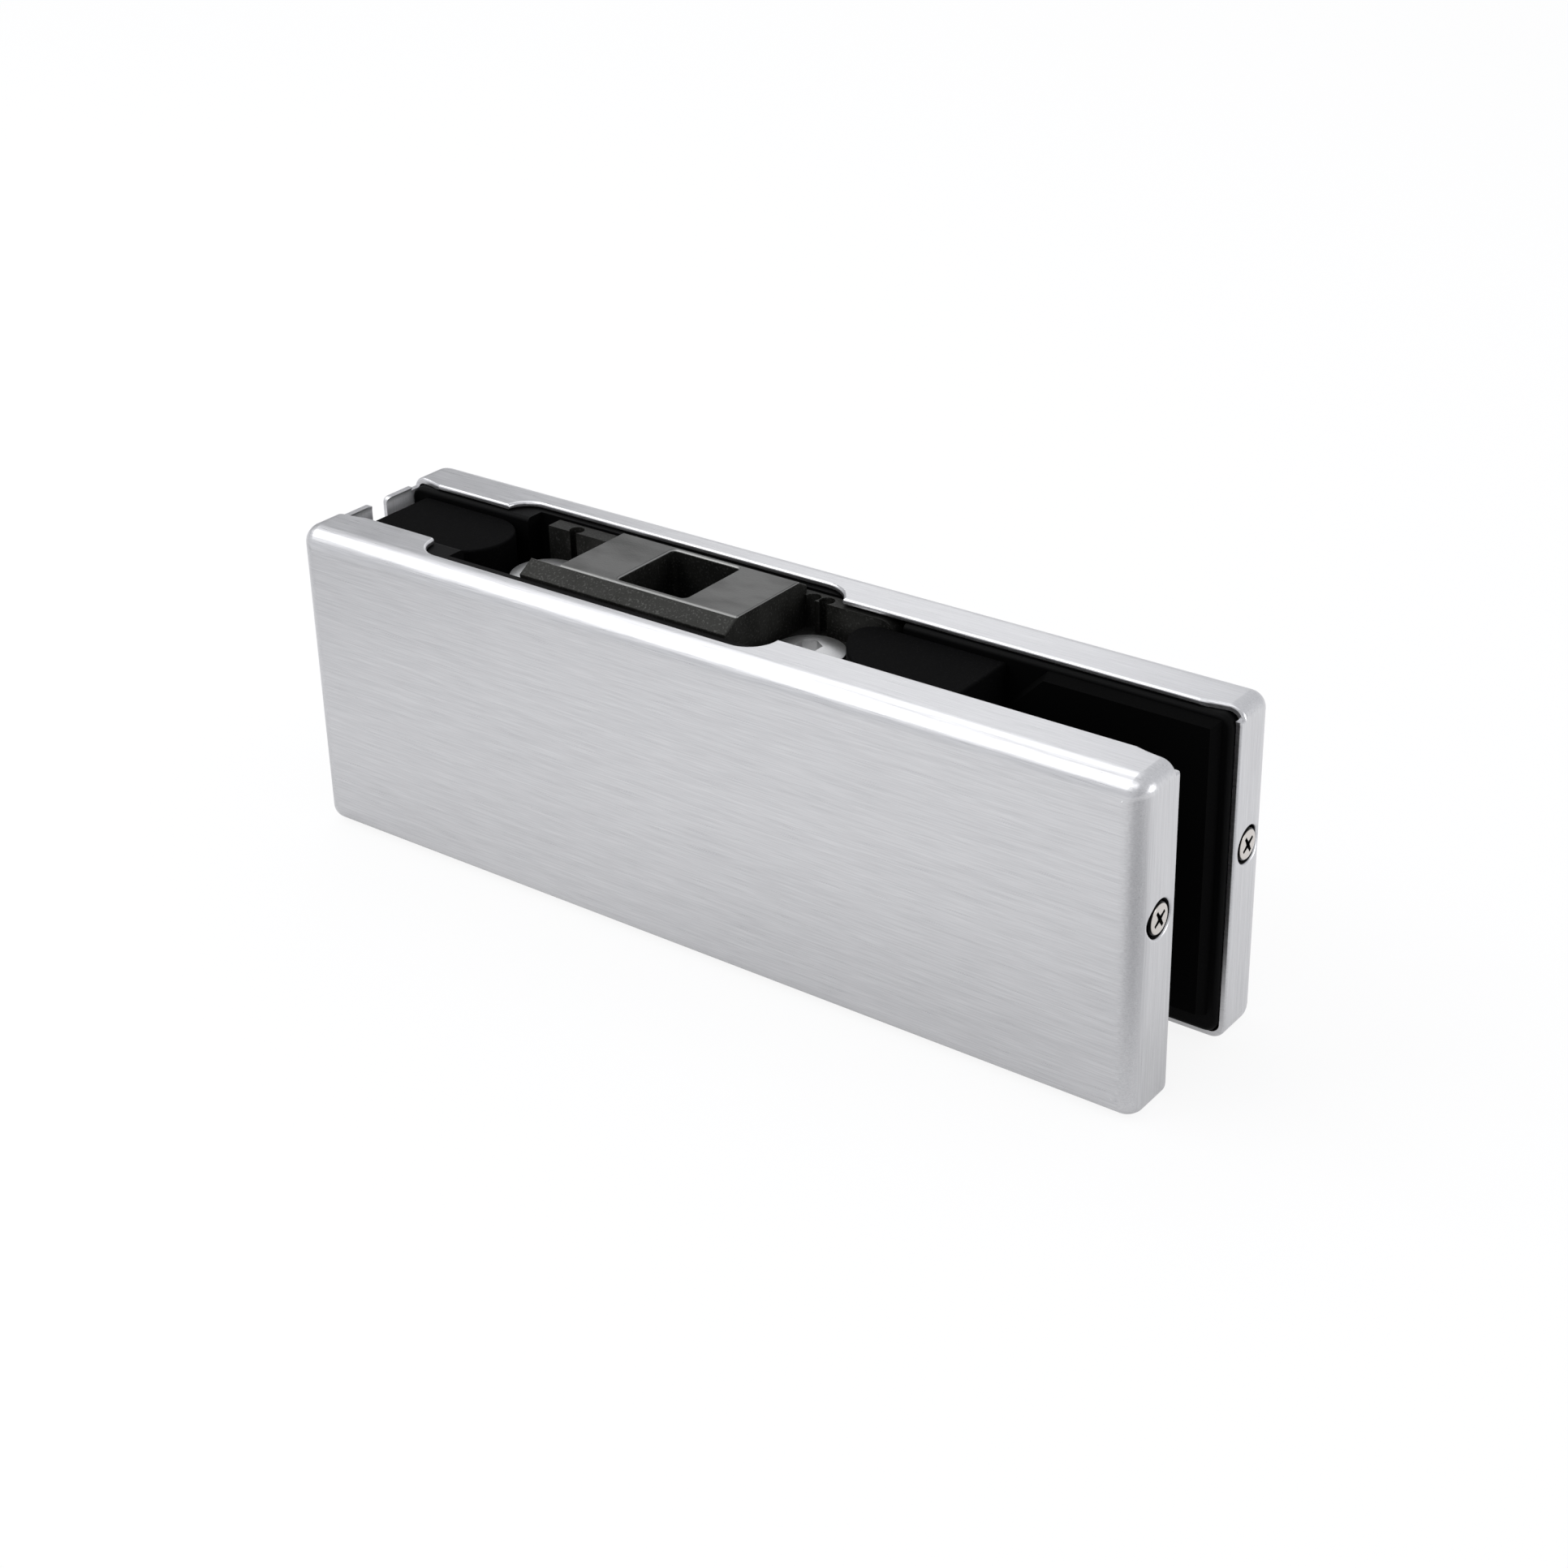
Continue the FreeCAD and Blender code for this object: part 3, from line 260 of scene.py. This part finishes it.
def addSkin(tree, shader, place, look):
    # bumps the surface with the cast skin and returns its speckle
    skin = useGroup(tree, castSkin, Place=place, Grain=look["grain"], Lump=look["lump"])
    normal = bumped(tree, skin["Height"], look["skinDepth"], look["skinHeight"])
    wire(tree, normal, shader.inputs["Normal"])
    return skin["Speckle"]


def makeDull(name, look):
    made, tree, shader, place = material(name, 0.0, look["roughness"],
                                         **{"Specular IOR Level": look["gloss"]})
    speckle = addSkin(tree, shader, place, look)
    colour = mixColour(tree, speckle, look["colour"], look["speckle"])
    wire(tree, colour, shader.inputs["Base Color"])
    return made


# Pivot insert: dark cast steel, ground smooth on top

# The levels are heights in metres: above them lie the ground top and the rubbed upper edges with
# their painted highlight.
# Each noise is its scale, detail and roughness, and the stretch draws the smears out along x.
insertLook = {"colour": (0.14, 0.14, 0.136), "smear": (0.085, 0.085, 0.082),
              "smearNoise": (1.0, 3.0, 0.55), "smearStretch": (60.0, 140.0, 60.0),
              "smearRange": (0.4, 0.62), "cast": (0.042, 0.042, 0.039),
              "dark": (0.02, 0.02, 0.018), "patchNoise": (160.0, 4.0, 0.6),
              "patchRange": (0.35, 0.7),
              "speckle": (0.14, 0.14, 0.135), "speckleShare": 0.5,
              "bevel": (0.036, 0.036, 0.034), "bevelFacing": (0.15, 0.3),
              "bevelRange": (0.3, 0.6), "bevelShare": (0.5, 1.0),
              "edge": (0.24, 0.24, 0.235), "roughness": 0.45, "castRoughness": 0.6,
              "grain": 2600.0, "lump": 420.0, "skinDepth": 0.6, "skinHeight": 0.00006,
              "topLevel": 0.0572, "edgeLevel": 0.05703}


def makeInsertSteel():
    look = insertLook
    made, tree, shader, place = material("insertSteel", 1.0, look["roughness"])
    speckle = addSkin(tree, shader, place, look)
    height = split(tree, place)["Z"]
    patches = noise(tree, place, *look["patchNoise"])
    cast = mixColour(tree, spread(tree, patches, *look["patchRange"]), look["dark"], look["cast"])
    # the long bevel is painted a little brighter than the other sides, as painted light on the
    # face that slopes upward
    facing = split(tree, newNode(tree, "ShaderNodeNewGeometry").outputs["Normal"])
    paintedBevelLight = mathNode(tree, "MULTIPLY", spread(tree, facing["Z"], *look["bevelFacing"]),
                      spread(tree, patches, *look["bevelRange"], *look["bevelShare"]))
    sides = mixColour(tree, paintedBevelLight, cast, look["bevel"])
    spots = mathNode(tree, "MULTIPLY", speckle, look["speckleShare"])
    sides = mixColour(tree, spots, sides, look["speckle"])
    # the rounded upper edges are painted bright: partly rubbed bare, partly a painted highlight
    # along the edges
    edge = mathNode(tree, "GREATER_THAN", height, look["edgeLevel"])
    sides = mixColour(tree, edge, sides, look["edge"])
    smears = noise(tree, scaled(tree, place, look["smearStretch"]), *look["smearNoise"])
    ground = mixColour(tree, spread(tree, smears, *look["smearRange"]), look["smear"],
                       look["colour"])
    top = mathNode(tree, "GREATER_THAN", height, look["topLevel"])
    wire(tree, mixColour(tree, top, sides, ground), shader.inputs["Base Color"])
    rough = spread(tree, edge, 0.0, 1.0, look["castRoughness"], look["roughness"])
    wire(tree, rough, shader.inputs["Roughness"])
    return made


# Plated screws, washers and nuts

platedSkin = {"grain": 6000.0, "lump": 900.0, "skinDepth": 0.2, "skinHeight": 0.00002,
              "speckleShade": 0.8}
platedLooks = {
    "insertScrewZinc": {"colour": (0.62, 0.62, 0.62), "roughness": 0.34},
    "hiddenZinc": {"colour": (0.52, 0.52, 0.53), "roughness": 0.38},
    "coverScrewNickel": {"colour": (0.62, 0.585, 0.55), "roughness": 0.2},
}
# The cross recess and the rim of a cover screw's head are painted dark: painted shade in the
# recess and a painted shadow in the gap round the head. The screws stand at this distance
# across and at this level; lengths are in metres, the turn is in degrees.
recessLook = {"colour": (0.004, 0.004, 0.004), "across": 0.013, "level": 0.0323, "turn": 32.0,
              "armLength": 0.0016, "armWidth": 0.00046, "armTaper": 0.22, "armBlur": 0.0001,
              "rim": 0.00228, "rimBlur": 0.00012}


def turned(tree, first, firstShare, second, secondShare):
    part = mathNode(tree, "MULTIPLY", second, secondShare)
    return mathNode(tree, "ABSOLUTE", mathNode(tree, "MULTIPLY_ADD", first, firstShare, part))


def recessShade(tree, place):
    look = recessLook
    spot = split(tree, place)
    side = mathNode(tree, "SIGN", spot["Y"])
    right = mathNode(tree, "MULTIPLY_ADD", side, -look["across"], spot["Y"])
    up = mathNode(tree, "SUBTRACT", spot["Z"], look["level"])
    turn = math.radians(look["turn"])
    tall = turned(tree, up, math.cos(turn), right, -math.sin(turn))
    wide = turned(tree, up, math.sin(turn), right, math.cos(turn))
    shade = None
    for along, across in ((tall, wide), (wide, tall)):
        # each arm narrows towards its tip
        narrow = mathNode(tree, "MULTIPLY_ADD", along, look["armTaper"], across)
        inside = spread(tree, narrow, look["armWidth"], look["armWidth"] + look["armBlur"],
                        1.0, 0.0)
        within = mathNode(tree, "LESS_THAN", along, look["armLength"])
        arm = mathNode(tree, "MULTIPLY", inside, within)
        shade = arm if shade is None else mathNode(tree, "MAXIMUM", shade, arm)
    square = mathNode(tree, "MULTIPLY", wide, wide)
    reach = mathNode(tree, "SQRT", mathNode(tree, "MULTIPLY_ADD", tall, tall, square))
    rim = spread(tree, reach, look["rim"], look["rim"] + look["rimBlur"])
    return mathNode(tree, "MAXIMUM", shade, rim)


def makePlated(name):
    look = platedLooks[name]
    made, tree, shader, place = material(name, 1.0, look["roughness"])
    speckle = addSkin(tree, shader, place, platedSkin)
    darker = tuple(channel * platedSkin["speckleShade"] for channel in look["colour"])
    colour = mixColour(tree, speckle, look["colour"], darker)
    if name == "coverScrewNickel":
        # painted shade in the cross recess and painted shadow round the head
        colour = mixColour(tree, recessShade(tree, place), colour, recessLook["colour"])
    wire(tree, colour, shader.inputs["Base Color"])
    return made


def dress(made, *names):
    for name in names:
        slots = nodes[name].data.materials
        slots.clear()
        slots.append(made)


dress(makeCoverSteel(), "front_cover", "rear_cover")
dress(makeDull("blackCasting", castingLook), "front_body", "rear_body")
dress(makeDull("gasketRubber", gasketLook), "front_gasket", "rear_gasket")
dress(makeDull("spacerCasting", spacerLook), "heel_spacer", "toe_spacer")
dress(makeInsertSteel(), "pivot_insert")
dress(makePlated("insertScrewZinc"), "insert_screw_heel", "insert_screw_toe")
dress(makePlated("hiddenZinc"), "insert_nut_heel", "insert_nut_toe", "clamp_screw_heel",
      "clamp_screw_toe", "clamp_washer_heel", "clamp_washer_toe")
dress(makePlated("coverScrewNickel"), "front_cover_screw", "rear_cover_screw")
print("stage: materials")


# Floor, world and lights

# A patch is its centre, how far it reaches and how much it takes from the level of 1. Patches
# show only in reflections. The floor's lie on it, in metres, and are painted shade in its glow:
# the object's own painted shadow close round it and darker floor further out in front. The
# world's are directions.
floorLook = {"colour": (0.86, 0.86, 0.87), "roughness": 0.9, "size": 3.0, "drop": 0.0001,
             "cleanShare": 0.88, "mirrorShare": 0.5,
             "patches": [((0.14, -0.06, 0.0), 0.08, 0.95), ((0.16, -0.095, 0.0), 0.15, 0.5),
                         ((-0.285, -0.14, 0.0), 0.25, 0.95), ((-0.06, -0.02, 0.0), 0.06, 0.2),
                         ((0.01, -0.02, 0.0), 0.06, 0.3), ((0.06, -0.03, 0.0), 0.05, 0.25),
                         ((-0.105, 0.0, 0.0), 0.055, 0.35)]}
worldLook = {"colour": (0.96, 0.97, 1.0), "strength": 0.85,
             "patches": [((-0.78, 0.58, 0.25), 0.7, 0.53), ((0.60, -0.75, 0.1), 0.8, 0.35)]}
# Each light: where it stands, its width and height in metres, its power in watts
lightTarget = (0, 0, 0.03)
lights = {
    "keyLight": {"place": (-0.60, -0.39, 0.82), "size": (0.85, 0.4), "power": 3.4},
    "backLight": {"place": (-0.56, 0.885, 0.49), "size": (0.34, 0.4), "power": 0.31},
    "topLight": {"place": (-0.41, 0.30, 0.87), "size": (0.42, 0.5), "power": 1.02},
    "endLight": {"place": (1.00, 0.20, 0.25), "size": (0.4, 0.4), "power": 2.0},
    "cornerLight": {"place": (0.00, -0.62, 0.86), "size": (0.8, 0.3), "power": 1.2},
}


def makeFloor():
    half = floorLook["size"] / 2
    corners = [(-half, -half, 0), (half, -half, 0), (half, half, 0), (-half, half, 0)]
    mesh = bpy.data.meshes.new("floor")
    mesh.from_pydata(corners, [], [(0, 1, 2, 3)])
    floor = bpy.data.objects.new("floor", mesh)
    bpy.context.scene.collection.objects.link(floor)
    floor.location.z = -floorLook["drop"]
    made, tree, shader, place = material("floorPaper", 0.0, floorLook["roughness"],
                                         **{"Specular IOR Level": 0.0})
    shader.inputs["Base Color"].default_value = (*floorLook["colour"], 1)
    # the camera sees plain white with a faint shadow, and metal sees the painted shade patches
    rays = newNode(tree, "ShaderNodeLightPath").outputs
    seen = rays["Is Camera Ray"]
    glow = newNode(tree, "ShaderNodeEmission")
    level = mathNode(tree, "MAXIMUM", seen, shaded(tree, place, floorLook["patches"]))
    wire(tree, level, glow.inputs["Strength"])
    mirrored = mathNode(tree, "MAXIMUM", rays["Is Glossy Ray"], rays["Is Transmission Ray"])
    mirror = mathNode(tree, "MULTIPLY", mirrored, floorLook["mirrorShare"])
    share = mathNode(tree, "MULTIPLY_ADD", seen, floorLook["cleanShare"], mirror, clamp=True)
    mix = newNode(tree, "ShaderNodeMixShader")
    wire(tree, share, mix.inputs[0])
    wire(tree, shader.outputs[0], mix.inputs[1])
    wire(tree, glow.outputs[0], mix.inputs[2])
    wire(tree, mix.outputs[0], tree.nodes["Material Output"].inputs["Surface"])
    mesh.materials.append(made)


def makeWorld():
    world = bpy.data.worlds.new("studio")
    world.use_nodes = True
    tree = world.node_tree
    back = tree.nodes["Background"]
    back.inputs["Color"].default_value = (*worldLook["colour"], 1)
    place = newNode(tree, "ShaderNodeTexCoord").outputs["Generated"]
    level = shaded(tree, place, worldLook["patches"])
    strength = mathNode(tree, "MULTIPLY", level, worldLook["strength"])
    wire(tree, strength, back.inputs["Strength"])
    white = newNode(tree, "ShaderNodeBackground")
    white.inputs["Color"].default_value = (1, 1, 1, 1)
    mix = newNode(tree, "ShaderNodeMixShader")
    wire(tree, newNode(tree, "ShaderNodeLightPath").outputs["Is Camera Ray"], mix.inputs[0])
    wire(tree, back.outputs[0], mix.inputs[1])
    wire(tree, white.outputs[0], mix.inputs[2])
    wire(tree, mix.outputs[0], tree.nodes["World Output"].inputs["Surface"])
    bpy.context.scene.world = world


def makeLights():
    for name, look in lights.items():
        data = bpy.data.lights.new(name, "AREA")
        data.shape = "RECTANGLE"
        data.size, data.size_y = look["size"]
        data.energy = look["power"]
        lamp = bpy.data.objects.new(name, data)
        lamp.location = look["place"]
        lamp.visible_camera = False
        aim = Vector(lightTarget) - lamp.location
        lamp.rotation_euler = aim.to_track_quat("-Z", "Y").to_euler()
        bpy.context.scene.collection.objects.link(lamp)


makeFloor()
makeWorld()
makeLights()
bpy.context.scene.view_settings.view_transform = "Standard"
print("stage: floor and lights")


# Camera: angles in degrees round the object, lengths in metres, and the focal length in pixels
# of the photograph's frame
cameraLook = {"azimuth": 37.43, "elevation": 26.15, "roll": -1.40,
              "place": (0.2407, -0.3062, 0.2301), "focalPixels": 3350.0, "framePixels": 1932.0,
              "shiftUp": -0.0549, "nearest": 0.01, "farthest": 20}


def makeCamera():
    look = cameraLook
    turn, rise, roll = (math.radians(look[key]) for key in ("azimuth", "elevation", "roll"))
    back = Vector((math.sin(turn) * math.cos(rise), -math.cos(turn) * math.cos(rise),
                   math.sin(rise)))
    side = Vector((math.cos(turn), math.sin(turn), 0))
    up = back.cross(side)
    across = side * math.cos(roll) + up * math.sin(roll)
    above = up * math.cos(roll) - side * math.sin(roll)
    axes = Matrix((across, above, back)).transposed().to_4x4()
    data = bpy.data.cameras.new("camera")
    data.lens = look["focalPixels"] / look["framePixels"] * data.sensor_width
    data.shift_y = look["shiftUp"]
    data.clip_start, data.clip_end = look["nearest"], look["farthest"]
    camera = bpy.data.objects.new("camera", data)
    camera.matrix_world = Matrix.Translation(look["place"]) @ axes
    bpy.context.scene.collection.objects.link(camera)
    bpy.context.scene.camera = camera


makeCamera()
print("stage: camera")
